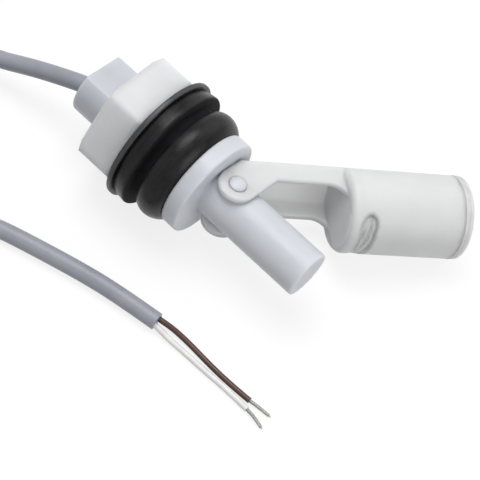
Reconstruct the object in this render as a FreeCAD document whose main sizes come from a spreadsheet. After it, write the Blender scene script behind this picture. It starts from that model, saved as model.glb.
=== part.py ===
"""Side-mounted float level switch with a rubber compression grommet.

+X runs along the body's axis towards the inside of the tank, +Z is up as the switch lies on a
bench, and the origin is on the axis in the middle of the wall seat.
All lengths are in millimetres.
"""
import FreeCAD, Part
import math
import os
from types import SimpleNamespace

import Sketcher
from FreeCAD import Placement, Rotation, Vector

doc = FreeCAD.newDocument("float_level_switch")

# ---------------------------------------------------------------- driving dimensions

SIZES = {
    # clamp nut and slip washer
    "nut_across_flats": 27.0,
    "nut_thickness": 9.4,
    "nut_corner_radius": 0.9,
    "nut_chamfer": 1.1,            # of the corners' reach, on the rear face
    "nut_countersink": 0.9,
    "washer_overhang": 0.1115,     # beyond the nut's corners
    "washer_thickness": 1.2,
    "washer_clearance": 0.2,
    "washer_edge": 0.3,
    # rubber grommet with the wall seat
    "band_step": 0.95,             # of the band's radius inside the washer's rim
    "band_waist": 0.12,            # how far the band draws in before the bead
    "band_length": 1.7,            # from the slip washer to where the bead starts to rise
    "bead_inset": 0.5,             # of the bead inside the washer's rim
    "bead_width": 1.8,
    "bead_edge": 0.6,
    "groove_depth": 3.0,           # from the bead down to the seat
    "wall_thickness": 2.0,         # tank wall that the groove takes
    "bulge_height": 1.9,           # over the seat
    "bulge_foot": 1.1,             # how far the bulge stands over the seat at the wall
    "bulge_crest": 2.5,            # from the wall's inner face to the bulge's largest radius
    "bulge_length": 6.5,
    # threaded shank, at its pitch diameter, and the rear boss
    "shank_radius": 8.6,
    "thread_clearance": 0.06,
    "thread_runout": 0.6,          # plain end of the shank inside the nut
    "boss_radius": 7.5,
    "boss_length": 9.3,            # behind the nut
    "boss_edge": 0.3,
    "shank_edge": 0.45,
    "boss_flats": 10.8,            # across the two spanner flats
    "boss_wall": 0.9,              # between a flat and the potting cavity
    "cavity_depth": 10.5,
    "bore_radius": 3.9,
    # flange and stem
    "flange_clearance": 0.05,      # in the tank's hole
    "flange_thickness": 4.0,
    "flange_edge": 0.45,
    "stem_radius": 5.6,
    "stem_length": 28.0,
    "stem_edge": 0.35,
    "stem_fillet": 0.5,
    "tip_wall": 1.6,
    # hinge
    "hinge_gap": 4.5,              # from the flange's face to the hinge's axis
    "pin_radius": 1.9,
    "pin_clearance": 0.05,
    "pin_dome": 0.55,              # height of the pin's domed end, beyond the ear
    "ear_countersink": 0.35,
    "ear_radius": 4.25,
    "arm_wall": 1.25,
    "ear_clearance": 0.12,
    "rim_room": 0.05,              # between the pin's hole and the arm's open side
    "stop_angle": 54.0,            # between stem and float, arm against flange
    "rest_angle": 50.0,
    # float
    "float_radius": 9.45,
    "float_start": 25.4,           # from the hinge's axis
    "float_length": 29.2,
    "float_wall": 1.3,
    "float_edge": 0.6,
    "float_shoulder": 1.6,
    "gusset_angle": 38.0,          # of the ear's web to the arm
    "heel_radius": 4.0,            # where the arm's open edge turns down the float's rear face
    "root_room": 1.0,              # beyond the arm's root, for the trimming outline
    "witness_start": 2.5,          # from the float's rear face to the oblong mould witness
    "witness_width": 3.6,
    "witness_reach": 5.2,          # from its middle to the centres of its round ends
    "witness_depth": 0.35,
    "cap_thickness": 1.6,
    "spigot_length": 2.4,
    "fit_clearance": 0.05,
    # magnet
    "magnet_radius": 3.0,
    "magnet_length": 8.0,
    "plug_thickness": 1.4,
    "socket_wall": 1.04,
    # reed switch and its leads
    "reed_radius": 1.15,
    "reed_length": 14.0,
    "reed_height": 1.3,
    "reed_tip_room": 3.2,          # between the glass and the end of the bore
    "glass_wall": 0.3,
    "glass_seal": 1.2,
    "lead_radius": 0.3,
    "lead_fit": 0.01,
    "blade_overlap": 0.2,
    "blade_width": 0.78,
    "blade_thickness": 0.15,
    "blade_gap": 0.09,             # between the two blades
    "fold_room": 1.0,              # between the folded lead and the end of the bore
    "sleeve_radius": 0.55,
    "sleeve_room": 1.6,            # between the sleeve and the fold
    "solder_reach": 4.0,           # from the glass back to the joints
    "solder_length": 2.6,
    "solder_radius": 0.65,
    "solder_overlap": 0.6,         # of the core's end inside its joint
    # cable
    "cable_diameter": 4.0,
    "core_diameter": 1.3,
    "core_offset": 0.68,           # from the cable's axis to a core's
    "core_straight": 2.0,          # in front of the potting, before the cores part
    "core_parting": 6.0,
    "jacket_entry": 3.0,           # from the cut jacket to the front of the potting cavity
    "potting_recess": 0.4,
    "strand_diameter": 0.85,
    "coil_mid_radius": 24.0,
    "coil_turns_wide": 3,
    "coil_turns_high": 2,
}


def formula_of(size):
    return size.formula if isinstance(size, Size) else repr(size)


def value_of(size):
    return size.value if isinstance(size, Size) else size


class Size:
    """A size that knows its number and the spreadsheet formula that gives it."""

    def __init__(self, value, formula):
        self.value = value
        self.formula = formula

    def __add__(self, other):
        return Size(self.value + value_of(other), f"({self.formula} + {formula_of(other)})")

    def __sub__(self, other):
        return Size(self.value - value_of(other), f"({self.formula} - {formula_of(other)})")

    def __mul__(self, other):
        return Size(self.value * value_of(other), f"({self.formula} * {formula_of(other)})")

    def __truediv__(self, other):
        return Size(self.value / value_of(other), f"({self.formula} / {formula_of(other)})")

    def __neg__(self):
        return Size(-self.value, f"(-1 * {self.formula})")

    __radd__ = __add__
    __rmul__ = __mul__

    def root(self):
        return Size(math.sqrt(self.value), f"sqrt({self.formula})")


sheet = doc.addObject("Spreadsheet::Sheet", "Dims")
for row, (name, number) in enumerate(SIZES.items(), start=1):
    sheet.set(f"A{row}", name)
    sheet.set(f"B{row}", str(number))
    sheet.setAlias(f"B{row}", name)
doc.recompute()
dim = SimpleNamespace(**{name: Size(sheet.get(name), f"Dims.{name}") for name in SIZES})

# radii that follow from the nut: the washer covers its corners, and the rubber the washer
nut_corner = dim.nut_across_flats / math.sqrt(3)
washer_radius = nut_corner + dim.washer_overhang
band_radius = washer_radius - dim.band_step
bead_radius = washer_radius - dim.bead_inset
seat_radius = bead_radius - dim.groove_depth
bulge_radius = seat_radius + dim.bulge_height
flange_radius = seat_radius - dim.flange_clearance

# stations along the body's axis, from the middle of the wall seat
seat_rear = -dim.wall_thickness / 2
seat_front = dim.wall_thickness / 2
washer_front = seat_rear - dim.bead_width - dim.band_length
washer_rear = washer_front - dim.washer_thickness
nut_rear = washer_rear - dim.nut_thickness
boss_rear = nut_rear - dim.boss_length
cavity_radius = dim.boss_flats / 2 - dim.boss_wall
cavity_front = boss_rear + dim.cavity_depth
shank_rear = nut_rear + dim.thread_runout
flange_rear = seat_front + dim.bulge_length
flange_front = flange_rear + dim.flange_thickness
stem_tip = flange_front + dim.stem_length
bore_front = stem_tip - dim.tip_wall
hinge_x = flange_front + dim.hinge_gap

# hinge and float, in the float's own frame: x along the float, z along the hinge's axis
ear_inside = dim.stem_radius + dim.ear_clearance
ear_outside = ear_inside + dim.arm_wall
pin_hole = dim.pin_radius + dim.pin_clearance
rim_height = pin_hole + dim.rim_room
float_end = dim.float_start + dim.float_length
cap_joint = float_end - dim.cap_thickness
float_bore = dim.float_radius - dim.float_wall

# the switch lies on its slip washer's rim and on the float's free end, which leans the hinge
rest_radians = math.radians(dim.rest_angle.value)
lean_sine = (washer_radius.value - dim.float_radius.value) / (
    float_end.value * math.sin(rest_radians))
lean_degrees = math.degrees(math.asin(lean_sine))
bench_height = -washer_radius.value

nodes = []
cuts = []

# ---------------------------------------------------------------- ways of making a piece


def new_body(label):
    """A PartDesign body that becomes one node."""
    body = doc.addObject("PartDesign::Body", label)
    body.Label = label
    nodes.append(body)
    return body


def bind(thing, field, size):
    """Ties one field of an object to the spreadsheet."""
    if isinstance(size, Size):
        thing.setExpression(field, size.formula)


def new_sketch(body, name, role, station=None, turn=0.0):
    """A sketch on one of the body's own origin planes, moved along its normal to a station."""
    sketch = body.newObject("Sketcher::SketchObject", name)
    plane = next(item for item in body.Origin.OriginFeatures if item.Role == role)
    sketch.AttachmentSupport = [(plane, "")]
    sketch.MapMode = "FlatFace"
    sketch.AttachmentOffset = Placement(
        Vector(0, 0, value_of(station) if station is not None else 0), Rotation(Vector(0, 0, 1), turn))
    if station is not None:
        bind(sketch, ".AttachmentOffset.Base.z", station)
    return sketch


def hold_point(sketch, edge, end, x, y):
    """Fixes one end of an edge at x, y."""
    for kind, size in (("DistanceX", x), ("DistanceY", y)):
        index = sketch.addConstraint(Sketcher.Constraint(kind, -1, 1, edge, end, value_of(size)))
        bind(sketch, f"Constraints[{index}]", size)


def arc_between(start, end, radius, clockwise):
    """The arc, and which of its ends is the outline's start."""
    middle = (start + end) * 0.5
    half = (end - start).Length / 2
    height = math.sqrt(max(radius * radius - half * half, 0.0))
    along = (end - start).normalize()
    side = -1.0 if clockwise else 1.0
    centre = middle + Vector(-along.y, along.x, 0) * (height * side)
    first, last = (end, start) if clockwise else (start, end)
    angles = [math.atan2(p.y - centre.y, p.x - centre.x) for p in (first, last)]
    circle = Part.Circle(centre, Vector(0, 0, 1), radius)
    return Part.ArcOfCircle(circle, angles[0], angles[1])


def outline(sketch, points):
    """A closed outline. A point is (x, y), or (x, y, radius) where the edge that leads to it is an
    arc: a positive radius turns it anticlockwise, and ("cw", radius) clockwise."""
    first = sketch.GeometryCount
    count = len(points)
    spots = [Vector(value_of(point[0]), value_of(point[1]), 0) for point in points]
    starts = []
    ends = []
    for number in range(count):
        target = points[(number + 1) % count]
        start, end = spots[number], spots[(number + 1) % count]
        edge = first + number
        if len(target) == 2:
            sketch.addGeometry(Part.LineSegment(start, end), False)
            starts.append((edge, 1))
            ends.append((edge, 2))
            continue
        clockwise = isinstance(target[2], tuple)
        radius = target[2][1] if clockwise else target[2]
        sketch.addGeometry(arc_between(start, end, value_of(radius), clockwise), False)
        starts.append((edge, 2 if clockwise else 1))
        ends.append((edge, 1 if clockwise else 2))
        index = sketch.addConstraint(Sketcher.Constraint("Radius", edge, value_of(radius)))
        bind(sketch, f"Constraints[{index}]", radius)
    for number in range(count):
        following = (number + 1) % count
        sketch.addConstraint(Sketcher.Constraint("Coincident", *ends[number], *starts[following]))
        hold_point(sketch, *starts[number], points[number][0], points[number][1])


def ring(sketch, radius):
    """A circle about the sketch's origin."""
    index = sketch.addGeometry(Part.Circle(Vector(0, 0, 0), Vector(0, 0, 1), value_of(radius)), False)
    sketch.addConstraint(Sketcher.Constraint("Coincident", index, 3, -1, 1))
    index = sketch.addConstraint(Sketcher.Constraint("Radius", index, value_of(radius)))
    bind(sketch, f"Constraints[{index}]", radius)


def turned(body, name, points, cut=False, sketch=None, axis="H_Axis"):
    """Turns an outline about an axis, adding it or cutting it away."""
    sketch = sketch or new_sketch(body, name + "_outline", "XZ_Plane")
    outline(sketch, points)
    kind = "PartDesign::Groove" if cut else "PartDesign::Revolution"
    feature = body.newObject(kind, name)
    feature.Profile = sketch
    feature.ReferenceAxis = (sketch, [axis])
    feature.Angle = 360.0
    if cut:
        cuts.append(feature)
    return feature


def padded(body, name, sketch, length):
    pad = body.newObject("PartDesign::Pad", name)
    pad.Profile = sketch
    pad.Length = value_of(length)
    bind(pad, "Length", length)
    return pad


def cut_through(body, name, sketch):
    """Cuts the sketch's shape away on both sides of its plane."""
    pocket = body.newObject("PartDesign::Pocket", name)
    pocket.Profile = sketch
    pocket.SideType = "Symmetric"
    pocket.Type = "ThroughAll"
    cuts.append(pocket)
    return pocket


def new_cylinder(label, radius, length, station, offset=Vector(0, 0, 0), hang=None):
    """A Part cylinder along +X."""
    rod = doc.addObject("Part::Cylinder", label)
    rod.Label = label
    rod.Radius = value_of(radius)
    rod.Height = value_of(length)
    bind(rod, "Radius", radius)
    bind(rod, "Height", length)
    spot = Placement(Vector(value_of(station), 0, 0) + offset, Rotation(Vector(0, 1, 0), 90))
    rod.Placement = hang.multiply(spot) if hang else spot
    nodes.append(rod)
    return rod


def new_shape(label, shape, hang=None):
    """A node whose shape comes from Part's own functions."""
    feature = doc.addObject("Part::Feature", label)
    feature.Label = label
    feature.Shape = shape
    if hang:
        feature.Placement = hang
    nodes.append(feature)
    return feature


# rest pose of the float's own frame
float_hang = Placement(
    Vector(hinge_x.value, 0, 0),
    Rotation(Vector(1, 0, 0), -lean_degrees).multiply(Rotation(Vector(0, 0, 1), dim.rest_angle.value)))


def hang_float(piece):
    """Puts a piece that was made in the float's frame at its rest pose."""
    piece.Placement = float_hang
    bind(piece, ".Placement.Base.x", hinge_x)


# ---------------------------------------------------------------- switch body
# One moulding: rear boss with two spanner flats and a potting cavity, threaded shank, flange, closed stem and the two
# pin stubs that the float snaps on.
body_shell = new_body("body_shell")
turned(body_shell, "shell_turning", [
    (boss_rear, cavity_radius),
    (boss_rear, dim.boss_radius - dim.boss_edge),
    (boss_rear + dim.boss_edge, dim.boss_radius, ("cw", dim.boss_edge)),
    (shank_rear, dim.boss_radius),
    (shank_rear, dim.shank_radius - dim.shank_edge),
    (shank_rear + dim.shank_edge, dim.shank_radius),
    (flange_rear, dim.shank_radius),
    (flange_rear, flange_radius - dim.flange_edge),
    (flange_rear + dim.flange_edge, flange_radius, ("cw", dim.flange_edge)),
    (flange_front - dim.flange_edge, flange_radius),
    (flange_front, flange_radius - dim.flange_edge, ("cw", dim.flange_edge)),
    (flange_front, dim.stem_radius + dim.stem_fillet),
    (flange_front + dim.stem_fillet, dim.stem_radius, dim.stem_fillet),
    (stem_tip - dim.stem_edge, dim.stem_radius),
    (stem_tip, dim.stem_radius - dim.stem_edge, ("cw", dim.stem_edge)),
    (stem_tip, 0),
    (bore_front, 0),
    (bore_front, dim.bore_radius),
    (cavity_front, dim.bore_radius),
    (cavity_front, cavity_radius),
])
flats_sketch = new_sketch(body_shell, "boss_flats_outline", "YZ_Plane", boss_rear, -lean_degrees)
for side in (1, -1):
    outline(flats_sketch, [
        (dim.boss_radius * -side, dim.boss_flats / 2 * side),
        (dim.boss_radius * side, dim.boss_flats / 2 * side),
        (dim.boss_radius * side, dim.boss_radius * side),
        (dim.boss_radius * -side, dim.boss_radius * side),
    ])
boss_flats = body_shell.newObject("PartDesign::Pocket", "boss_flats")
boss_flats.Profile = flats_sketch
boss_flats.Reversed = True
boss_flats.Length = value_of(shank_rear - boss_rear)
bind(boss_flats, "Length", shank_rear - boss_rear)
cuts.append(boss_flats)
pin_root = dim.bore_radius + (dim.stem_radius - dim.bore_radius) / 2
dome_radius = (dim.pin_radius * dim.pin_radius + dim.pin_dome * dim.pin_dome) / (dim.pin_dome * 2)
pin_end = ear_outside + dim.pin_dome
for side, name, doming in ((1, "upper_pin", dome_radius), (-1, "lower_pin", ("cw", dome_radius))):
    pin_sketch = new_sketch(body_shell, name + "_outline", "YZ_Plane", hinge_x, -lean_degrees)
    turned(body_shell, name, [
        (0, pin_root * side),
        (dim.pin_radius, pin_root * side),
        (dim.pin_radius, ear_outside * side),
        (0, pin_end * side, doming),
    ], sketch=pin_sketch, axis="V_Axis")

# ---------------------------------------------------------------- clamp nut
# Moulded hexagon nut, chamfered at the rear, flat against the slip washer.
clamp_nut = new_body("clamp_nut")
nut_bore = dim.shank_radius + dim.thread_clearance
nut_sketch = new_sketch(clamp_nut, "nut_hexagon", "YZ_Plane", nut_rear)
corner_trim = dim.nut_corner_radius / math.sqrt(3)
hexagon = []
for number in range(6):
    for turn, leads_round in ((-1, False), (1, True)):
        corner_angle = math.radians(60 * number)
        flat_angle = math.radians(60 * number + 120 * turn)
        x = nut_corner * math.cos(corner_angle) + corner_trim * math.cos(flat_angle)
        y = nut_corner * math.sin(corner_angle) + corner_trim * math.sin(flat_angle)
        hexagon.append((x, y, dim.nut_corner_radius) if leads_round else (x, y))
outline(nut_sketch, hexagon)
ring(nut_sketch, nut_bore)
padded(clamp_nut, "nut_blank", nut_sketch, dim.nut_thickness)
chamfer_start = nut_corner - dim.nut_chamfer
chamfer_reach = nut_corner + dim.nut_chamfer
chamfer_slope = math.tan(math.radians(30))
turned(clamp_nut, "nut_chamfer", [
    (nut_rear, chamfer_start),
    (nut_rear + (chamfer_reach - chamfer_start) * chamfer_slope, chamfer_reach),
    (nut_rear, chamfer_reach),
], cut=True)
countersink_inside = nut_bore - dim.nut_countersink / 2
turned(clamp_nut, "nut_countersinks", [
    (nut_rear, countersink_inside),
    (nut_rear, nut_bore + dim.nut_countersink),
    (nut_rear + dim.nut_countersink, nut_bore),
    (nut_rear + dim.nut_countersink, countersink_inside),
], cut=True)

# ---------------------------------------------------------------- slip washer
# Hard disc that lets the nut turn without dragging the rubber.
slip_washer = new_body("slip_washer")
washer_bore = nut_bore + dim.washer_clearance
turned(slip_washer, "washer_turning", [
    (washer_rear, washer_bore),
    (washer_rear, washer_radius - dim.washer_edge),
    (washer_rear + dim.washer_edge, washer_radius, ("cw", dim.washer_edge)),
    (washer_front - dim.washer_edge, washer_radius),
    (washer_front, washer_radius - dim.washer_edge, ("cw", dim.washer_edge)),
    (washer_front, washer_bore),
])

# ---------------------------------------------------------------- grommet
# One rubber moulding: flat rear band, round bead against the outside of the wall, groove for the
# wall, and the sleeve that bulges behind it when the nut is done up.
grommet = new_body("grommet")
grommet_bore = dim.shank_radius + dim.fit_clearance
bead_rear = seat_rear - dim.bead_width
waist_radius = band_radius - dim.band_waist
bulge_crest = seat_front + dim.bulge_crest
bulge_rear = seat_radius + dim.bulge_foot
bulge_front = flange_radius - dim.flange_edge / 2


def arc_radius(rise, run):
    """Radius of the arc that leaves its crest level and falls by rise over run."""
    return (run * run + rise * rise) / (rise * 2)


rear_fall = arc_radius(bulge_radius - bulge_rear, bulge_crest - seat_front)
front_fall = arc_radius(bulge_radius - bulge_front, flange_rear - bulge_crest)
turned(grommet, "grommet_turning", [
    (washer_front, grommet_bore),
    (washer_front, band_radius - dim.washer_edge),
    (washer_front + dim.washer_edge, band_radius, ("cw", dim.washer_edge)),
    (bead_rear, waist_radius),
    (seat_rear - dim.bead_edge, bead_radius),
    (seat_rear, bead_radius - dim.bead_edge, ("cw", dim.bead_edge)),
    (seat_rear, seat_radius),
    (seat_front, seat_radius),
    (seat_front, bulge_rear),
    (bulge_crest, bulge_radius, ("cw", rear_fall)),
    (flange_rear, bulge_front, ("cw", front_fall)),
    (flange_rear, grommet_bore),
])

# ---------------------------------------------------------------- float shell
# One moulding: hollow float, half-channel arm that nests over the stem, and two ears that snap on
# the stem's pins. The arm's slanted root lands on the flange when the float hangs fully open.
float_moulding = doc.addObject("PartDesign::Body", "float_moulding")
socket_bore = dim.magnet_radius + dim.fit_clearance
socket_outside = socket_bore + dim.socket_wall
float_floor = dim.float_start + dim.float_wall
socket_end = float_floor + dim.magnet_length + dim.plug_thickness
turned(float_moulding, "float_can", [
    (dim.float_start, 0),
    (dim.float_start, dim.float_radius - dim.float_shoulder),
    (dim.float_start + dim.float_shoulder, dim.float_radius, ("cw", dim.float_shoulder)),
    (cap_joint, dim.float_radius),
    (cap_joint, float_bore),
    (float_floor, float_bore),
    (float_floor, socket_outside),
    (socket_end, socket_outside),
    (socket_end, socket_bore),
    (float_floor, socket_bore),
    (float_floor, 0),
])
back_bore = dim.float_radius - dim.arm_wall
outer_shoulder = (dim.float_radius * dim.float_radius - ear_outside * ear_outside).root()
inner_shoulder = (back_bore * back_bore - ear_inside * ear_inside).root()
arm_sketch = new_sketch(float_moulding, "arm_section", "YZ_Plane", -dim.ear_radius)
outline(arm_sketch, [
    (rim_height, -ear_outside),
    (outer_shoulder, -ear_outside),
    (outer_shoulder, ear_outside, dim.float_radius),
    (rim_height, ear_outside),
    (rim_height, ear_inside),
    (inner_shoulder, ear_inside),
    (inner_shoulder, -ear_inside, ("cw", back_bore)),
    (rim_height, -ear_inside),
])
padded(float_moulding, "arm", arm_sketch, dim.ear_radius + dim.float_start + dim.float_wall / 2)
stop_cos = math.cos(math.radians(dim.stop_angle.value))
stop_sin = math.sin(math.radians(dim.stop_angle.value))
touch_x = -dim.ear_radius * stop_cos
touch_y = dim.ear_radius * stop_sin
root_top = dim.float_radius + dim.root_room
root_low = rim_height - dim.root_room
root_rear = -dim.ear_radius - dim.root_room
root_sketch = new_sketch(float_moulding, "root_trim_outline", "XY_Plane")
outline(root_sketch, [
    (touch_x, touch_y),
    (touch_x + (root_top - touch_y) * (stop_sin / stop_cos), root_top),
    (root_rear, root_top),
    (root_rear, root_low),
    (touch_x, root_low),
])
cut_through(float_moulding, "root_trim", root_sketch)
gusset = math.radians(dim.gusset_angle.value)
tangent_x = dim.ear_radius * math.sin(gusset)
tangent_y = -dim.ear_radius * math.cos(gusset)
web_end = tangent_x + (rim_height - tangent_y) / math.tan(gusset)
web_top = rim_height + dim.root_room
web_inside = pin_hole + dim.root_room
heel_start = dim.float_start - dim.heel_radius
heel_end = dim.float_start + dim.float_wall / 2
for name, station in (("upper", ear_inside), ("lower", -ear_outside)):
    ear_sketch = new_sketch(float_moulding, name + "_ear_disc", "XY_Plane", station)
    ring(ear_sketch, dim.ear_radius)
    ring(ear_sketch, pin_hole)
    padded(float_moulding, name + "_ear", ear_sketch, dim.arm_wall)
    web_sketch = new_sketch(float_moulding, name + "_web_outline", "XY_Plane", station)
    outline(web_sketch, [
        (tangent_x, tangent_y),
        (web_end, rim_height),
        (web_end, web_top),
        (web_inside, web_top),
    ])
    padded(float_moulding, name + "_web", web_sketch, dim.arm_wall)
    heel_sketch = new_sketch(float_moulding, name + "_heel_outline", "XY_Plane", station)
    outline(heel_sketch, [
        (heel_start, rim_height),
        (dim.float_start, rim_height - dim.heel_radius, ("cw", dim.heel_radius)),
        (heel_end, rim_height - dim.heel_radius),
        (heel_end, web_top),
        (heel_start, web_top),
    ])
    padded(float_moulding, name + "_heel", heel_sketch, dim.arm_wall)
for name, side in (("upper", 1), ("lower", -1)):
    sink_sketch = new_sketch(float_moulding, name + "_ear_sink", "XZ_Plane")
    outline(sink_sketch, [
        (0, (ear_outside - dim.ear_countersink) * side),
        (pin_hole, (ear_outside - dim.ear_countersink) * side),
        (pin_hole + dim.ear_countersink, ear_outside * side),
        (0, ear_outside * side),
    ])
    sink = float_moulding.newObject("PartDesign::Groove", name + "_ear_countersink")
    sink.Profile = sink_sketch
    sink.ReferenceAxis = (sink_sketch, ["V_Axis"])
    sink.Angle = 360.0
    cuts.append(sink)

# shallow oblong recess that a slide of the mould leaves on the float's open side
witness_middle = dim.float_start + dim.witness_start + dim.witness_width / 2
witness_slot = doc.addObject("Part::Box", "witness_slot")
bind(witness_slot, "Length", dim.witness_width)
bind(witness_slot, "Width", dim.float_radius)
bind(witness_slot, "Height", dim.witness_reach * 2)
witness_slot.Placement.Base = Vector(
    (witness_middle - dim.witness_width / 2).value, -dim.float_radius.value, -dim.witness_reach.value)
slot_parts = [witness_slot]
for name, side in (("witness_upper_end", 1), ("witness_lower_end", -1)):
    slot_end = doc.addObject("Part::Cylinder", name)
    bind(slot_end, "Radius", dim.witness_width / 2)
    bind(slot_end, "Height", dim.float_radius)
    slot_end.Placement = Placement(
        Vector(witness_middle.value, 0, side * dim.witness_reach.value), Rotation(Vector(1, 0, 0), 90))
    slot_parts.append(slot_end)
witness_oblong = doc.addObject("Part::MultiFuse", "witness_oblong")
witness_oblong.Shapes = slot_parts
witness_floor = doc.addObject("Part::Cylinder", "witness_floor")
bind(witness_floor, "Radius", dim.float_radius - dim.witness_depth)
bind(witness_floor, "Height", float_end)
witness_floor.Placement = Placement(Vector(0, 0, 0), Rotation(Vector(0, 1, 0), 90))
witness_tool = doc.addObject("Part::Cut", "witness_tool")
witness_tool.Base = witness_oblong
witness_tool.Tool = witness_floor
float_shell = doc.addObject("Part::Cut", "float_shell")
float_shell.Label = "float_shell"
float_shell.Base = float_moulding
float_shell.Tool = witness_tool
nodes.append(float_shell)
hang_float(float_shell)

# ---------------------------------------------------------------- float end cap
# Welded disc with a spigot in the float's mouth.
float_end_cap = new_body("float_end_cap")
spigot_radius = float_bore - dim.fit_clearance
spigot_bore = spigot_radius - dim.float_wall
turned(float_end_cap, "cap_turning", [
    (cap_joint - dim.spigot_length, spigot_bore),
    (cap_joint - dim.spigot_length, spigot_radius),
    (cap_joint, spigot_radius),
    (cap_joint, dim.float_radius),
    (float_end - dim.float_edge, dim.float_radius),
    (float_end, dim.float_radius - dim.float_edge, ("cw", dim.float_edge)),
    (float_end, 0),
    (cap_joint, 0),
    (cap_joint, spigot_bore),
])
hang_float(float_end_cap)

# ---------------------------------------------------------------- magnet and its plug
new_cylinder("magnet", dim.magnet_radius, dim.magnet_length, float_floor, hang=float_hang)
new_cylinder("magnet_plug", dim.magnet_radius, dim.plug_thickness,
             float_floor + dim.magnet_length, hang=float_hang)

# ---------------------------------------------------------------- round wires


def route(points):
    """Straight runs joined by tangent arcs, as large as their runs allow. Returns the wire, its
    length and the arcs' radii."""
    reach = 0.45
    spots = [Vector(*point) for point in points]
    edges = []
    radii = []
    here = spots[0]
    for before, corner_spot, after in zip(spots, spots[1:], spots[2:]):
        inward = (corner_spot - before).normalize()
        outward = (after - corner_spot).normalize()
        trim = reach * min((corner_spot - before).Length, (after - corner_spot).Length)
        half_turn = inward.getAngle(outward) / 2
        radii.append(trim / math.tan(half_turn))
        start = corner_spot - inward * trim
        end = corner_spot + outward * trim
        to_centre = (outward - inward).normalize()
        middle = corner_spot + to_centre * (radii[-1] / math.cos(half_turn) - radii[-1])
        edges.append(Part.LineSegment(here, start).toShape())
        edges.append(Part.Arc(start, middle, end).toShape())
        here = end
    edges.append(Part.LineSegment(here, spots[-1]).toShape())
    wire = Part.Wire(edges)
    return wire, wire.Length, radii


def round_wire(points, diameter, label):
    """A round wire or cord along a route, with its radii and volume printed for checking."""
    wire, length, radii = route(points)
    start, ahead = Vector(*points[0]), Vector(*points[1])
    section = Part.Wire([Part.Circle(start, (ahead - start).normalize(), diameter / 2).toShape()])
    solid = wire.makePipeShell([section], True, True)
    ideal = math.pi * diameter * diameter / 4 * length
    least = f"{min(radii):.1f}" if radii else "none"
    print(f"{label}: length {length:.1f}, least radius {least}, volume/ideal {solid.Volume / ideal:.5f}")
    return solid


# ---------------------------------------------------------------- reed switch
# Glass capsule with two overlapping blades. The front lead folds back beside the glass in a
# sleeve, and both leads are soldered to the cable's cores.
reed_seat = bore_front - dim.reed_tip_room - dim.reed_length
reed_x = reed_seat.value
reed_z = dim.reed_height.value
return_z = -reed_z
reed_glass = new_body("reed_glass")
lead_gap = dim.lead_radius + dim.lead_fit
turned(reed_glass, "glass_turning", [
    (0, lead_gap),
    (0, dim.reed_radius - dim.glass_wall),
    (dim.glass_wall, dim.reed_radius, ("cw", dim.glass_wall)),
    (dim.reed_length - dim.glass_wall, dim.reed_radius),
    (dim.reed_length, dim.reed_radius - dim.glass_wall, ("cw", dim.glass_wall)),
    (dim.reed_length, lead_gap),
    (dim.reed_length - dim.glass_seal, lead_gap),
    (dim.reed_length - dim.glass_seal, dim.reed_radius - dim.glass_wall),
    (dim.glass_seal, dim.reed_radius - dim.glass_wall),
    (dim.glass_seal, lead_gap),
])
reed_glass.Placement = Placement(Vector(reed_x, 0, reed_z), Rotation())
bind(reed_glass, ".Placement.Base.x", reed_seat)
bind(reed_glass, ".Placement.Base.z", dim.reed_height)

seal = dim.glass_seal.value
blade_length = (dim.reed_length.value + dim.blade_overlap.value) / 2 - seal
blade_thickness = dim.blade_thickness.value
blade_lift = (blade_thickness + dim.blade_gap.value) / 2
blade_root = 0.4
solder_x = reed_x - dim.solder_reach.value
solder_length = dim.solder_length.value
core_end = solder_x - dim.solder_overlap.value


def blade(start_x, lift):
    """Flattened end of a reed's lead, inside the glass."""
    width = dim.blade_width.value
    return Part.makeBox(blade_length, width, blade_thickness,
                        Vector(start_x, -width / 2, reed_z + lift - blade_thickness / 2))


def rod_along_x(radius, length, *start):
    return Part.makeCylinder(radius, length, Vector(*start), Vector(1, 0, 0))


lead = dim.lead_radius.value * 2
rear_lead = rod_along_x(lead / 2, reed_x + seal + blade_root - solder_x, solder_x, 0, reed_z)
new_shape("reed_lead_rear", rear_lead.fuse(blade(reed_x + seal, blade_lift)).removeSplitter())
fold = bore_front.value - dim.fold_room.value
reed_front = reed_x + dim.reed_length.value
front_points = [
    (reed_front - seal - blade_root, 0, reed_z),
    (fold, 0, reed_z),
    (fold, 0, return_z),
    (solder_x, 0, return_z),
]
fold_wire = round_wire(front_points, lead, "reed_lead_front")
front_blade = blade(reed_front - seal - blade_length, -blade_lift)
new_shape("reed_lead_front", fold_wire.fuse(front_blade).removeSplitter())
sleeve_start = solder_x + solder_length
sleeve_length = fold - dim.sleeve_room.value - sleeve_start
sleeve = rod_along_x(dim.sleeve_radius.value, sleeve_length, sleeve_start, 0, return_z)
sleeve_bore = rod_along_x(lead / 2 + dim.lead_fit.value, sleeve_length, sleeve_start, 0, return_z)
new_shape("lead_sleeve", sleeve.cut(sleeve_bore))

# ---------------------------------------------------------------- cores and solder inside the body
jacket_start = (cavity_front.value - dim.jacket_entry.value, 0.0, 0.0)
core = dim.core_diameter.value
bend_start = cavity_front.value + dim.core_straight.value
bend_end = bend_start + dim.core_parting.value
for colour, side, height in (("brown", 1, reed_z), ("white", -1, return_z)):
    offset = side * dim.core_offset.value
    points = [
        (jacket_start[0], 0, offset),
        (bend_start, 0, offset),
        (bend_end, 0, height),
        (core_end, 0, height),
    ]
    new_shape(f"{colour}_core_inside", round_wire(points, core, f"{colour}_core_inside"))
    joint = rod_along_x(dim.solder_radius.value, solder_length, core_end, 0, height)
    wire_end = rod_along_x(lead / 2, solder_length, solder_x, 0, height)
    new_shape(f"solder_{colour}", joint.cut(wire_end))

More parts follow.
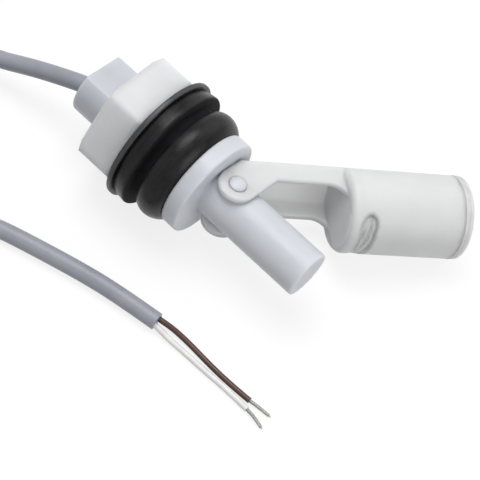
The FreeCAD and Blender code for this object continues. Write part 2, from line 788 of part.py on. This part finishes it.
# ---------------------------------------------------------------- cable
# Grey round cable. It leaves the boss off its centre and leans down to the bench, is put away in a
# flat coil, and comes back past the switch to its stripped end.
cable = dim.cable_diameter.value
cable_z = bench_height + cable / 2
upper_layer = cable_z + cable
coil_centre = Vector(-61.0, -43.0, 0)
coil_half_width = cable * dim.coil_turns_wide.value / 2
coil_outer = dim.coil_mid_radius.value + coil_half_width
upper_route = [
    jacket_start,
    (-24.6, -1.2, -0.8),
    (-31.5, -3.0, -3.0),
    (-39.0, -5.0, -5.8),
    (-47.0, -7.7, -9.0),
    (-55.0, -10.2, -9.9),
    (-64.0, -13.4, upper_layer),
    (-72.7, -17.5, upper_layer),
]
lower_route = [
    (-36.4, -56.0, cable_z),
    (-32.2, -48.1, cable_z),
    (-26.2, -41.4, cable_z),
    (-18.6, -36.3, cable_z),
    (-8.5, -32.9, cable_z),
    (5.0, -28.9, cable_z),
    (14.0, -27.0, cable_z),
    (22.3, -25.7, cable_z),
]
cable_lead_in = round_wire(upper_route, cable, "cable_upper_run")
new_shape("cable_upper_run", cable_lead_in)
coil_height = cable * dim.coil_turns_high.value
coil_rounding = cable * 0.4
coil_seat = Vector(coil_centre.x, coil_centre.y, bench_height)
coil_outside = Part.makeCylinder(coil_outer, coil_height, coil_seat)
coil_inside = Part.makeCylinder(coil_outer - coil_half_width * 2, coil_height, coil_seat)
coil = coil_outside.cut(coil_inside)
new_shape("cable_coil", coil.makeFillet(coil_rounding, coil.Edges))
new_shape("cable_lower_run", round_wire(lower_route, cable, "cable_lower_run"))

# ---------------------------------------------------------------- stripped end
core_z = bench_height + core / 2 + 0.08
tails = {
    "brown": [(22.3, -24.85, cable_z - 0.1), (25.8, -23.9, -14.4), (30.6, -23.6, core_z),
              (36.0, -23.9, core_z), (42.0, -24.0, core_z), (48.3, -23.6, core_z)],
    "white": [(22.3, -26.45, cable_z - 0.2), (26.6, -26.3, -14.7), (31.6, -25.9, core_z),
              (37.2, -25.8, core_z), (43.2, -25.4, core_z), (49.2, -25.5, core_z)],
}
strand_z = bench_height + dim.strand_diameter.value / 2 + 0.04
bare_ends = {
    "brown": [(48.3, -23.6, core_z), (51.0, -23.2, core_z), (53.9, -22.9, strand_z)],
    "white": [(49.2, -25.5, core_z), (51.8, -25.7, core_z), (54.5, -26.3, strand_z)],
}
for colour, points in tails.items():
    new_shape(f"{colour}_core_tail", round_wire(points, core, f"{colour}_core_tail"))
for colour, points in bare_ends.items():
    new_shape(f"{colour}_strands", round_wire(points, dim.strand_diameter.value, f"{colour}_strands"))

# ---------------------------------------------------------------- potting
# Resin cast in the boss round the cable and its cores.
potting_length = dim.cavity_depth.value - dim.potting_recess.value
potting_start = boss_rear.value + dim.potting_recess.value
potting = rod_along_x(cavity_radius.value, potting_length, potting_start, 0, 0)
doc.recompute()
for label in ("cable_upper_run", "brown_core_inside", "white_core_inside"):
    potting = potting.cut(doc.getObject(label).Shape)
new_shape("potting", potting)

# ---------------------------------------------------------------- checks and files

doc.recompute()
for item in doc.Objects:
    if "Invalid" in item.State or "Error" in item.State:
        raise RuntimeError(f"{item.Label} failed: {item.State}")
for cut in cuts:
    removed = cut.BaseFeature.Shape.Volume - cut.Shape.Volume
    if removed <= 0:
        raise RuntimeError(f"{cut.Label} took nothing away")
    print(f"{cut.Label}: {removed:.2f} taken away")
os.makedirs("parts", exist_ok=True)
for node in nodes:
    shape = node.Shape
    if shape.isNull() or not shape.isValid() or not shape.Solids:
        raise RuntimeError(f"{node.Label} has no valid solid")
    shape.exportStep(f"parts/{node.Label}.step")
    box = shape.BoundBox
    print(f"{node.Label:18s} solids {len(shape.Solids)} volume {shape.Volume:9.2f} "
          f"x {box.XMin:7.2f} {box.XMax:7.2f} y {box.YMin:7.2f} {box.YMax:7.2f} z {box.ZMin:7.2f} {box.ZMax:7.2f}")
print(f"hinge at x {hinge_x.value:.3f}, lean sine {lean_sine:.6f}, {len(nodes)} nodes")
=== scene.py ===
"""Looks of the side-mounted float level switch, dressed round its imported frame. All lengths are in metres."""
import math

import bmesh
import bpy
from mathutils import Matrix, Vector


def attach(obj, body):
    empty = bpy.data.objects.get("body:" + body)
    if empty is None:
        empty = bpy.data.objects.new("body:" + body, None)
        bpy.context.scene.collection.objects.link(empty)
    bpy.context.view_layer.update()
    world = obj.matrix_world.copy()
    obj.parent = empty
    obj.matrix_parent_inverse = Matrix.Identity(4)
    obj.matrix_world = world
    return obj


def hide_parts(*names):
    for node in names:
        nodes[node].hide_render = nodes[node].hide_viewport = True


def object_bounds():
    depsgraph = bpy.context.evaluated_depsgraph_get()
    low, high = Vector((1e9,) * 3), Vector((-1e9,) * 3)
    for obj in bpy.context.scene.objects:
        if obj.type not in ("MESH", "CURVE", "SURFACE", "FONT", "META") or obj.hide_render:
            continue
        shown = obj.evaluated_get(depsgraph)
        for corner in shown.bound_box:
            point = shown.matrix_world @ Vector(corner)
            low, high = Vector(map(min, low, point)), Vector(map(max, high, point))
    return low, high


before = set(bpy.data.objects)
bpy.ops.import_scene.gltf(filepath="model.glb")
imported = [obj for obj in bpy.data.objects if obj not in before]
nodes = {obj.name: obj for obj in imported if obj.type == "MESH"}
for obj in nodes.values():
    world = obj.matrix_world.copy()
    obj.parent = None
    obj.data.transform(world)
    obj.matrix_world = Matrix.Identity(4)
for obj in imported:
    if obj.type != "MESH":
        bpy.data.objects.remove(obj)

cad_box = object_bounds()

# ---- Camera
# Looks down at the switch from in front of its near side, as it lies on the bench, with the stem towards
# the lower right and the coil of the cable outside the view.
camera = bpy.data.objects.new("camera", bpy.data.cameras.new("camera"))
bpy.context.collection.objects.link(camera)
right = Vector((0.71978, 0.66330, 0.20478))
up = Vector((-0.66161, 0.56615, 0.49167))
ahead = Vector((-0.21019, 0.48939, -0.84636))
camera_spot = Vector((0.09842, -0.17835, 0.30007))
camera.matrix_world = Matrix.Translation(camera_spot) @ Matrix((right, up, -ahead)).transposed().to_4x4()
camera.data.lens = 124.7
camera.data.sensor_width = 36.0
camera.data.clip_start = 0.01
bpy.context.scene.camera = camera

# ---- Cable
# Round two-core cable in grey PVC, 4 mm across and 1 m long with its stripped end. It leaves the potted
# boss, is put away in a flat coil of two layers, and comes back past the switch.
MM = 0.001
cable_diameter = 4 * MM
bench = cad_box[0][2]
lower_layer = bench + cable_diameter / 2
upper_layer = lower_layer + cable_diameter
cable_points = [
    (-16.9, 0, 0), (-24.6, -1.2, -0.8), (-31.5, -3, -3), (-39, -5, -5.8), (-47, -7.7, -9),
    (-55, -10.2, -9.9), (-64, -13.4, upper_layer / MM), (-72.7, -17.5, upper_layer / MM),
]
coil_centre = Vector((-61, -43))
coil_start = math.radians(114.6)
turns_in_layer = 2.8
lane_change = 0.9
points_per_turn = 16
change_length = 0.12
outer_lane, inner_lane, lane_pitch = 28, 20, 4
slack = 1.012
drop_length, drop_lead = 0.3, 0.75
layer_steps = round(turns_in_layer * points_per_turn)
for step in range(1, 2 * layer_steps):
    turn = step / points_per_turn
    top = turn < turns_in_layer
    in_layer = turn if top else turn - turns_in_layer
    lane = sum(min(max((in_layer - change) / change_length + 0.5, 0), 1)
               for change in (lane_change, lane_change + 1))
    radius = (outer_lane - lane_pitch * lane if top else inner_lane + lane_pitch * lane) * slack
    drop = min(max((turn - turns_in_layer) / drop_length + drop_lead, 0), 1)
    angle = coil_start + turn * 2 * math.pi
    cable_points.append((coil_centre.x + radius * math.cos(angle), coil_centre.y + radius * math.sin(angle),
                         (upper_layer + (lower_layer - upper_layer) * drop) / MM))
cable_points += [
    (x, y, lower_layer / MM) for x, y in (
        (-36.4, -56), (-32.2, -48.1), (-26.2, -41.4), (-18.6, -36.3), (-8.5, -32.9), (5, -28.9), (14, -27),
        (22.3, -25.7))]


def smooth_line(name, lines):
    """A curve that follows smooth lines through their control points, in millimetres."""
    curve = bpy.data.curves.new(name, "CURVE")
    curve.dimensions = "3D"
    curve.resolution_u = 8
    for line in lines:
        spline = curve.splines.new("NURBS")
        spline.points.add(len(line) - 1)
        for point, spot in zip(spline.points, line):
            point.co = (*(Vector(spot) * MM), 1)
        spline.order_u = 3
        spline.use_endpoint_u = True
        spline.use_smooth = True
    return bpy.data.objects.new(name, curve)


def round_line(name, lines, diameter, sides=12):
    """A round cord, core or wire along smooth lines."""
    piece = smooth_line(name, lines)
    piece.data.bevel_depth = 1.0
    piece.data.bevel_resolution = sides
    piece.data.use_fill_caps = True
    for spline in piece.data.splines:
        for point in spline.points:
            point.radius = diameter / 2
    bpy.context.collection.objects.link(piece)
    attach(piece, "switch_body")
    return piece


class Socket:
    """One value in a tree of nodes; arithmetic on it adds Math nodes."""

    def __init__(self, owner, socket):
        self.owner = owner
        self.socket = socket

    def math(self, operation, *others):
        """A Math node on this value and the others."""
        return self.owner.add("ShaderNodeMath", {"operation": operation}, dict(enumerate((self, *others))))

    def absolute(self):
        return self.math("ABSOLUTE")

    def root(self):
        return self.math("SQRT")

    def at_least(self, lowest):
        return self.math("MAXIMUM", lowest)

    def __add__(self, other):
        return self.math("ADD", other)

    def __sub__(self, other):
        return self.math("SUBTRACT", other)

    def __rsub__(self, other):
        return self.math("MULTIPLY_ADD", -1.0, other)

    def __mul__(self, other):
        return self.math("MULTIPLY", other)

    __radd__ = __add__
    __rmul__ = __mul__


class Nodes:
    """The node tree of a material or of the world."""

    def __init__(self, tree, shader):
        self.tree = tree
        self.shader = tree.nodes[shader]

    def add(self, kind, settings, sockets, out=0):
        """Adds a node of this kind, with its settings first and then its sockets' values or links."""
        node = self.tree.nodes.new(kind)
        for setting, value in settings.items():
            setattr(node, setting, value)
        for socket, value in sockets.items():
            if isinstance(value, Socket):
                self.tree.links.new(value.socket, node.inputs[socket])
            else:
                node.inputs[socket].default_value = value
        return Socket(self, node.outputs[out])

    def feed(self, socket, value):
        self.tree.links.new(value.socket, self.shader.inputs[socket])

    def fade(self, value, low, high, at_low=0.0, at_high=1.0):
        """The value mapped from low..high to at_low..at_high, held at its ends."""
        return self.add("ShaderNodeMapRange", {"clamp": True},
                        {"Value": value, "From Min": low, "From Max": high, "To Min": at_low,
                         "To Max": at_high})


class Finish(Nodes):
    """A material: one shader with constants on its own sockets, and the nodes that vary it."""

    def __init__(self, name, **constants):
        self.material = bpy.data.materials.new(name)
        self.material.use_nodes = True
        super().__init__(self.material.node_tree, "Principled BSDF")
        for socket, value in constants.items():
            self.shader.inputs[socket.replace("_", " ")].default_value = value
        self.place = self.add("ShaderNodeTexCoord", {}, {}, "Object")

    def noise(self, scale, detail=3.0, roughness=0.5, place=None):
        return self.add("ShaderNodeTexNoise", {},
                        {"Vector": place or self.place, "Scale": scale, "Detail": detail,
                         "Roughness": roughness})

    def stretch(self, scale, place=None):
        """Coordinates with each axis scaled."""
        return self.add("ShaderNodeMapping", {}, {"Vector": place or self.place, "Scale": scale})

    def blend(self, share, first, second):
        """A colour between two colours."""
        return self.add("ShaderNodeMix", {"data_type": "RGBA"}, {"Factor": share, 6: first, 7: second}, 2)

    def bump(self, height, strength, distance, edge=None):
        """Surface grain, over edges that shade as if rounded to this radius."""
        sockets = {"Height": height, "Strength": strength, "Distance": distance}
        if edge:
            sockets["Normal"] = self.add("ShaderNodeBevel", {"samples": 8}, {"Radius": edge})
        self.feed("Normal", self.add("ShaderNodeBump", {}, sockets))

    def coat(self, *pieces):
        """Puts the finish on pieces, in place of what they had."""
        for piece in pieces:
            piece.data.materials.clear()
            piece.data.materials.append(self.material)


cable = round_line("cable", [cable_points], cable_diameter)
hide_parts("cable_upper_run", "cable_coil", "cable_lower_run")
jacket = Finish("cable_jacket", Roughness=0.46, Subsurface_Weight=0.04, Subsurface_Scale=0.001, IOR=1.5)
cloud = jacket.noise(160, 4)
grain = jacket.noise(2600, 2)
jacket.feed("Base Color", jacket.blend(jacket.fade(cloud, 0.3, 0.7), (0.275, 0.285, 0.33, 1),
                                       (0.325, 0.335, 0.38, 1)))
jacket.feed("Roughness", jacket.fade(grain, 0.3, 0.7, 0.4, 0.54))
jacket.bump(grain * 0.6 + cloud * 0.4, 0.25, 0.00006)
jacket.coat(cable)

# ---- Stripped end
# Two stranded cores, brown and white PVC, 1.3 mm across, bared where the jacket is cut back. Their copper
# is tinned and twisted at the ends, and they come down from the jacket to lie just clear of the bench.
core_diameter = 1.3 * MM
core_lift, strand_lift = 0.73, 0.465
core_height = bench / MM + core_lift
strand_height = bench / MM + strand_lift
core_lines = {
    "brown": [(19.3, -25.3, -13.6), (22.3, -24.85, -13.8), (25.8, -23.9, -14.4), (30.6, -23.6, core_height),
              (36.0, -23.9, core_height), (42.0, -24.0, core_height), (48.3, -23.6, core_height)],
    "white": [(19.3, -26.8, -13.7), (22.3, -26.45, -13.9), (26.6, -26.3, -14.7), (31.6, -25.9, core_height),
              (37.2, -25.8, core_height), (43.2, -25.4, core_height), (49.2, -25.5, core_height)],
}
strand_lines = {
    "brown": [(47.3, -23.7, core_height), (48.3, -23.6, core_height), (51.0, -23.2, core_height),
              (53.9, -22.9, strand_height)],
    "white": [(48.2, -25.5, core_height), (49.2, -25.5, core_height), (51.8, -25.7, core_height),
              (54.5, -26.3, strand_height)],
}
insulation_colours = {"brown": ((0.050, 0.0185, 0.0105, 1), (0.074, 0.029, 0.018, 1)),
                      "white": ((0.73, 0.73, 0.715, 1), (0.81, 0.81, 0.795, 1))}
for colour, line in core_lines.items():
    core = round_line(f"{colour}_core", [line], core_diameter)
    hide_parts(f"{colour}_core_tail")
    skin = Finish(f"{colour}_insulation", Roughness=0.38, IOR=1.5)
    patch = skin.noise(420, 3)
    skin.feed("Base Color", skin.blend(skin.fade(patch, 0.35, 0.65), *insulation_colours[colour]))
    skin.feed("Roughness", skin.fade(patch, 0.3, 0.7, 0.3, 0.46))
    skin.bump(skin.noise(3800, 2), 0.2, 0.00004)
    skin.coat(core, nodes[f"{colour}_core_inside"])

tinned = Finish("tinned_copper", Metallic=1.0, Roughness=0.32)
tin_grain = tinned.noise(5200, 3)
tinned.feed("Base Color", tinned.blend(tinned.fade(tin_grain, 0.35, 0.7), (0.26, 0.25, 0.24, 1),
                                       (0.44, 0.43, 0.42, 1)))
tinned.feed("Roughness", tinned.fade(tin_grain, 0.3, 0.7, 0.24, 0.42))
tinned.bump(tin_grain, 0.3, 0.00003)
outer_strands = 6
lay_length = 2.6 * MM
strand_ring = 0.29 * MM
strand_diameter = 0.26 * MM
for colour, line in strand_lines.items():
    middle = smooth_line(f"{colour}_strand_route", [line])
    route = [vertex.co.copy() for vertex in bpy.data.meshes.new_from_object(middle).vertices]
    lines = [line]
    for strand in range(outer_strands):
        twisted = []
        travelled = 0.0
        for start, end in zip(route, route[1:]):
            along = (end - start).normalized()
            side = along.cross(Vector((0, 0, 1))).normalized()
            rise = side.cross(along)
            angle = 2 * math.pi * (travelled / lay_length + strand / outer_strands)
            twisted.append((start + side * (strand_ring * math.cos(angle))
                            + rise * (strand_ring * math.sin(angle))) / MM)
            travelled += (end - start).length
        lines.append(twisted)
    strands = round_line(f"{colour}_strand_twist", lines, strand_diameter, 3)
    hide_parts(f"{colour}_strands")
    tinned.coat(strands)

# ---- Body
# One injection moulding in natural white polypropylene: rear boss, threaded shank, flange, stem and pins.
# The milky plastic lets a little light in, and its faces are satin with a fine spark-eroded grain.
body_plastic = Finish("body_plastic", Roughness=0.42, IOR=1.49, Subsurface_Weight=0.6,
                      Subsurface_Scale=0.004, Subsurface_Radius=(0.92, 0.96, 1.0))
flow = body_plastic.noise(70, 4, place=body_plastic.stretch((0.35, 1, 1)))
dust = body_plastic.noise(900, 3, 0.6)
body_plastic.feed("Base Color", body_plastic.blend(
    body_plastic.fade(flow, 0.3, 0.7), (0.555, 0.575, 0.625, 1), (0.61, 0.63, 0.67, 1)))
body_plastic.feed("Roughness", body_plastic.fade(dust, 0.3, 0.7, 0.36, 0.5))
body_plastic.bump(dust * 0.7 + body_plastic.noise(3600, 2) * 0.3, 0.18, 0.00006, 0.5 * MM)
body_plastic.coat(nodes["body_shell"])

# ---- Nut
# Thick moulded hexagon nut in milky polypropylene, screwed on the shank against the slip washer. Its
# corners are blunt, and light spreads in the thick plastic, so that its faces run softly into one another.
nut_plastic = Finish("nut_plastic", Roughness=0.52, IOR=1.49, Subsurface_Weight=1.0, Subsurface_Scale=0.006,
                     Subsurface_Radius=(0.98, 0.98, 1.0), Specular_IOR_Level=0.35)
cloudy = nut_plastic.noise(90, 4)
nut_grain = nut_plastic.noise(1000, 3, 0.6)
nut_plastic.feed("Base Color", nut_plastic.blend(
    nut_plastic.fade(cloudy, 0.3, 0.7), (0.64, 0.645, 0.665, 1), (0.70, 0.705, 0.72, 1)))
nut_plastic.feed("Roughness", nut_plastic.fade(nut_grain, 0.3, 0.7, 0.46, 0.6))
nut_plastic.bump(nut_grain * 0.7 + nut_plastic.noise(3600, 2) * 0.3, 0.2, 0.00006, 2.6 * MM)
nut_plastic.coat(nodes["clamp_nut"])

# ---- Slip washer
# Thin hard disc in black plastic on the shank. The nut slides on it as it is done up, so that the turning
# doesn't drag the rubber.
washer_plastic = Finish("washer_plastic", Roughness=0.4, IOR=1.5)
scuffs = washer_plastic.noise(500, 4)
washer_plastic.feed("Base Color", washer_plastic.blend(
    washer_plastic.fade(scuffs, 0.35, 0.75), (0.012, 0.012, 0.013, 1), (0.03, 0.03, 0.032, 1)))
washer_plastic.feed("Roughness", washer_plastic.fade(scuffs, 0.3, 0.7, 0.34, 0.5))
washer_plastic.bump(washer_plastic.noise(2400, 2), 0.15, 0.00005)
washer_plastic.coat(nodes["slip_washer"])

# ---- Grommet
# Black moulded rubber: a band that widens to a bead outside the tank's wall, the groove for the wall, and
# the sleeve that bulges behind it when the nut is done up. Its skin is satin and mottled, and dull in the
# groove.
half_wall = 1.0
seat_radius = 12.2
bore_radius = 8.65
profile = {
    "bore_rear": (-4.5, bore_radius), "band_rear": (-4.5, 14.75), "bead_crest": (-1.35, 15.2),
    "bead_front": (-half_wall, 14.9), "seat_rear": (-half_wall, seat_radius),
    "seat_front": (half_wall, seat_radius), "bulge_foot": (half_wall, 13.25),
}
bulge_middle, bulge_radius, bulge_front = 3.5, 14.1, 4.0
for ahead_of_middle, fall in (
        (-2.0, 0.5), (-1.4, 0.24), (-0.7, 0.06), (0.0, 0.0), (0.7, 0.052), (1.4, 0.21), (2.1, 0.49),
        (2.7, 0.84), (3.2, 1.23), (3.6, 1.64), (bulge_front, 2.175)):
    profile[f"bulge_{ahead_of_middle}"] = (bulge_middle + ahead_of_middle, bulge_radius - fall)
profile["bore_front"] = (bulge_middle + bulge_front, bore_radius)
corner_radii = {"band_rear": 0.35, "bead_crest": 0.3, "bead_front": 0.3, "seat_rear": 0.3,
                "seat_front": 0.25, "bulge_foot": 0.3}
rubber_builder = bmesh.new()
corners = {name: rubber_builder.verts.new((x * MM, 0, radius * MM))
           for name, (x, radius) in profile.items()}
outline = list(corners.values())
for pair in zip(outline, outline[1:] + outline[:1]):
    rubber_builder.edges.new(pair)
for name, radius in corner_radii.items():
    bmesh.ops.bevel(rubber_builder, geom=[corners[name]], offset=radius * MM, offset_type="OFFSET",
                    affect="VERTICES", segments=5, profile=0.5, material=-1)
bmesh.ops.spin(rubber_builder, geom=rubber_builder.verts[:] + rubber_builder.edges[:], cent=(0, 0, 0),
               axis=(1, 0, 0), angle=2 * math.pi, steps=180, use_merge=True)
bmesh.ops.remove_doubles(rubber_builder, verts=rubber_builder.verts, dist=1e-6)
bmesh.ops.recalc_face_normals(rubber_builder, faces=rubber_builder.faces)


def built(name, builder):
    """The object that a builder's shape makes, shaded smooth."""
    for face in builder.faces:
        face.smooth = True
    mesh = bpy.data.meshes.new(name)
    builder.to_mesh(mesh)
    builder.free()
    piece = bpy.data.objects.new(name, mesh)
    bpy.context.collection.objects.link(piece)
    return piece


grommet_moulding = built("grommet_moulding", rubber_builder)
grommet_moulding.data.set_sharp_from_angle(angle=math.radians(50))
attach(grommet_moulding, "switch_body")
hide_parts("grommet")
rubber = Finish("grommet_rubber", Roughness=0.42, IOR=1.5, Specular_IOR_Level=0.19)
bloom = rubber.noise(260, 5, 0.6)
streak = rubber.noise(1.0, 4, 0.6, place=rubber.stretch((1400, 260, 260)))
pores = rubber.noise(2400, 3, 0.6)
rubber.feed("Base Color", rubber.blend(rubber.fade(bloom * 0.6 + streak * 0.4, 0.38, 0.66),
                                       (0.0022, 0.0021, 0.0026, 1), (0.013, 0.0127, 0.0145, 1)))
satin = rubber.fade(bloom * 0.55 + streak * 0.3 + pores * 0.3, 0.42, 0.74, 0.2, 0.42)
from_wall = rubber.add("ShaderNodeSeparateXYZ", {}, {"Vector": rubber.place}, "X").absolute()
groove_dull, groove_edge, groove_roughness = 0.9 * MM, 1.4 * MM, 0.9
dull = rubber.fade(from_wall, groove_dull, groove_edge, 1.0, 0.0)
rubber.feed("Roughness", satin * (1 - dull) + dull * groove_roughness)
rubber.bump(pores * 0.5 + bloom * 0.3 + streak * 0.2, 0.55, 0.0001)
rubber.coat(grommet_moulding)

# ---- Float
# Hollow moulding in milky polypropylene with its channel arm and snap-on ears; the end disc is welded on with
# a low bead. Painted shade darkens an oblong patch beside the arm's foot and the arm itself, and painted light
# brightens the inside of the arm's channel.
hinge = Vector((16, 0, 0)) * MM
pin_lean = -math.asin(0.149427)
opening = math.radians(50)
float_turn = Matrix.Rotation(pin_lean, 3, "X") @ Matrix.Rotation(opening, 3, "Z")
float_place = Matrix.Translation(hinge) @ float_turn.to_4x4()
float_plastic = Finish("float_plastic", Roughness=0.5, IOR=1.49, Subsurface_Weight=1.0,
                       Subsurface_Scale=0.005, Subsurface_Radius=(1.0, 0.98, 0.96), Specular_IOR_Level=0.3)
milk = float_plastic.noise(60, 5, place=float_plastic.stretch((1, 1, 0.5)))
skin_grain = float_plastic.noise(1100, 3, 0.6)
own_place = float_plastic.add("ShaderNodeMapping", {"vector_type": "TEXTURE"}, {
    "Vector": float_plastic.place, "Location": hinge, "Rotation": float_turn.to_euler()})
along, across, height = (float_plastic.add("ShaderNodeSeparateXYZ", {}, {"Vector": own_place}, axis)
                         for axis in range(3))
# Painted shade: an oblong patch on the open side beside the arm's foot, with a ragged dark rim that is darker
# towards the top, and dark streaks inside it.
shade_patch_middle = 29.7 * MM
shade_patch_half = 1.8 * MM
shade_patch_reach = 5.2 * MM
from_middle = along - shade_patch_middle
beyond = (height.absolute() - shade_patch_reach).at_least(0.0)
from_spine = (from_middle * from_middle + beyond * beyond).root()
open_side = float_plastic.fade(across, -2 * MM, -5 * MM)
ragged = float_plastic.noise(900, 4, 0.7, place=own_place)
raggedness = 1.1 * MM
rim_sharp, rim_faint = 0.08 * MM, 0.75 * MM
shade_patch_rim = float_plastic.fade((from_spine - shade_patch_half).absolute() + (ragged - 0.5) * raggedness,
                              rim_sharp, rim_faint, 1.0, 0.0)
streaks = float_plastic.noise(1.0, 4, 0.6, place=float_plastic.stretch((1500, 300, 240), own_place))
inside = float_plastic.fade(from_spine, shade_patch_half, shade_patch_half - 0.4 * MM)
# Share of painted shade in the patch, at its rim and in its streaked inside, on the open side only.
painted_shade_patch = open_side * (shade_patch_rim * float_plastic.fade(height, -2 * MM, 6 * MM, 0.25, 0.6)
                      + inside * float_plastic.fade(streaks, 0.40, 0.62) * 0.7)
milky = float_plastic.blend(
    float_plastic.fade(milk, 0.3, 0.7), (0.79, 0.79, 0.785, 1), (0.85, 0.85, 0.84, 1))
# Painted shade: the arm is coloured grey, fading out where the float's can begins.
arm_end, float_start = 24 * MM, 29 * MM
arm_painted_shade_and_light = float_plastic.fade(along, arm_end, float_start, 1.0, 0.0)
from_axis = (across * across + height * height).root()
web_edge, web_middle = 6.0 * MM, 5.7 * MM
skin_outside, skin_inside = 8.6 * MM, 8.3 * MM
# Painted light: the inside of the arm's channel is coloured nearly white.
painted_light_in_channel = (arm_painted_shade_and_light * float_plastic.fade(height.absolute(), web_edge, web_middle)
               * float_plastic.fade(from_axis, skin_outside, skin_inside))
milky_painted_shade_and_light = float_plastic.blend(arm_painted_shade_and_light * 0.75, milky, (0.62, 0.625, 0.625, 1))
milky_painted_shade_and_light = float_plastic.blend(painted_light_in_channel, milky_painted_shade_and_light, (0.93, 0.93, 0.925, 1))
float_plastic.feed("Base Color", float_plastic.blend(painted_shade_patch, milky_painted_shade_and_light, (0.30, 0.30, 0.31, 1)))
float_plastic.feed("Roughness", float_plastic.fade(skin_grain, 0.3, 0.7, 0.40, 0.54))
float_plastic.bump(skin_grain * 0.7 + float_plastic.noise(4200, 2) * 0.3, 0.18, 0.00006, 1.2 * MM)
float_plastic.coat(nodes["float_shell"], nodes["float_end_cap"], nodes["magnet_plug"])

weld_station = 53.0 * MM
weld_radius = 9.45 * MM
weld_builder = bmesh.new()
weld_section = [(-0.75, -0.12), (-0.5, 0.0), (-0.2, 0.06), (0.2, 0.06), (0.5, 0.0), (0.75, -0.12)]
crown = [weld_builder.verts.new((weld_station + x * MM, 0, weld_radius + z * MM)) for x, z in weld_section]
crown_edges = [weld_builder.edges.new(pair) for pair in zip(crown, crown[1:] + crown[:1])]
bmesh.ops.spin(weld_builder, geom=crown + crown_edges, cent=(0, 0, 0), axis=(1, 0, 0),
               angle=2 * math.pi, steps=96, use_merge=True)
bmesh.ops.remove_doubles(weld_builder, verts=weld_builder.verts, dist=1e-7)
bmesh.ops.recalc_face_normals(weld_builder, faces=weld_builder.faces)
bmesh.ops.transform(weld_builder, matrix=float_place, verts=weld_builder.verts)
weld_bead = built("weld_bead", weld_builder)
weld_plastic = Finish("weld_plastic", Roughness=0.5, IOR=1.49)
smear = weld_plastic.noise(700, 4)
weld_plastic.feed("Base Color", weld_plastic.blend(
    weld_plastic.fade(smear, 0.3, 0.7), (0.56, 0.56, 0.555, 1), (0.64, 0.64, 0.635, 1)))
weld_plastic.bump(smear, 0.3, 0.00008)
weld_plastic.coat(weld_bead)
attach(weld_bead, "float")

# ---- Inside the float and the stem
# Ferrite magnet in the float's socket. In the stem a reed switch of glass on tinned leads, with a sleeve on
# the folded one, soldered to the cores and held by the resin cast in the boss.
ferrite = Finish("ferrite", Roughness=0.6, Metallic=0.3)
speckle = ferrite.noise(1800, 4)
ferrite.feed("Base Color", ferrite.blend(ferrite.fade(speckle, 0.35, 0.7), (0.03, 0.03, 0.032, 1),
                                         (0.06, 0.06, 0.062, 1)))
ferrite.bump(speckle, 0.3, 0.00005)
ferrite.coat(nodes["magnet"])
green_glass = Finish("reed_glass", Roughness=0.05, IOR=1.5, Transmission_Weight=0.9)
tint = green_glass.noise(300, 2)
green_glass.feed("Base Color", green_glass.blend(tint, (0.62, 0.80, 0.70, 1), (0.74, 0.88, 0.80, 1)))
green_glass.coat(nodes["reed_glass"])
tinned.coat(nodes["reed_lead_rear"], nodes["reed_lead_front"], nodes["solder_brown"], nodes["solder_white"])
sleeve = Finish("lead_sleeve", Roughness=0.45)
weave = sleeve.noise(1500, 3)
sleeve.feed("Base Color", sleeve.blend(weave, (0.62, 0.50, 0.16, 1), (0.72, 0.60, 0.24, 1)))
sleeve.bump(weave, 0.2, 0.00003)
sleeve.coat(nodes["lead_sleeve"])
resin = Finish("potting_resin", Roughness=0.22, IOR=1.55, Coat_Weight=0.2)
swirl = resin.noise(260, 4)
resin.feed("Base Color", resin.blend(
    resin.fade(swirl, 0.3, 0.7), (0.40, 0.42, 0.44, 1), (0.48, 0.50, 0.52, 1)))
resin.bump(swirl, 0.3, 0.0001)
resin.coat(nodes["potting"])

# ---- Bench and light
# Plain white bench that shows white to the eye and in reflections, and keeps the switch's shadow. A broad
# soft lamp hangs above, with two weaker ones behind the switch and off the end of its stem, in even light.
bench_builder = bmesh.new()
bmesh.ops.create_grid(bench_builder, x_segments=1, y_segments=1, size=4.0)
bench_gap = 0.02 * MM
bmesh.ops.translate(bench_builder, verts=bench_builder.verts, vec=(0, 0, bench - bench_gap))
bench_top = built("bench", bench_builder)


def shown(owner):
    """1 where the background is seen, directly, mirrored or through glass, and 0 where it gives light."""
    seen = owner.add("ShaderNodeLightPath", {}, {}, "Is Camera Ray")
    for way in ("Is Glossy Ray", "Is Transmission Ray"):
        seen = seen + owner.add("ShaderNodeLightPath", {}, {}, way)
    return seen


paper = Finish("bench_paper", Roughness=0.9, Specular_IOR_Level=0.0, Emission_Strength=1.0)
paper_shown = shown(paper)
paper.feed("Base Color", paper.blend(paper_shown, (0.55, 0.55, 0.55, 1), (0.2, 0.2, 0.2, 1)))
paper.feed("Emission Color", paper.blend(paper_shown, (0, 0, 0, 1), (0.80, 0.80, 0.80, 1)))
paper.coat(bench_top)


def lamp(name, spot, target, size, power):
    """A round soft lamp at a spot, turned to a target."""
    light = bpy.data.lights.new(name, "AREA")
    light.shape = "DISK"
    light.size = size
    light.energy = power
    holder = bpy.data.objects.new(name, light)
    bpy.context.collection.objects.link(holder)
    holder.location = spot
    holder.rotation_euler = (Vector(target) - Vector(spot)).to_track_quat("-Z", "Y").to_euler()


lamp("key_lamp", (-0.15, 0.05, 0.56), (0.0, 0, 0), 0.40, 2.3)
lamp("far_lamp", (0.06, 0.46, 0.36), (0.0, 0, 0), 0.5, 0.5)
lamp("side_lamp", (0.54, -0.06, 0.26), (0.02, 0, 0), 0.4, 1.0)
world = bpy.data.worlds.new("studio")
bpy.context.scene.world = world
world.use_nodes = True
sky = Nodes(world.node_tree, "Background")
sky.shader.inputs["Color"].default_value = (1, 1, 1, 1)
sky_light, sky_white = 0.38, 1.0
sky.feed("Strength", sky.fade(shown(sky), 0.0, 1.0, sky_light, sky_white))
bpy.context.scene.view_settings.view_transform = "Standard"

bpy.context.view_layer.update()
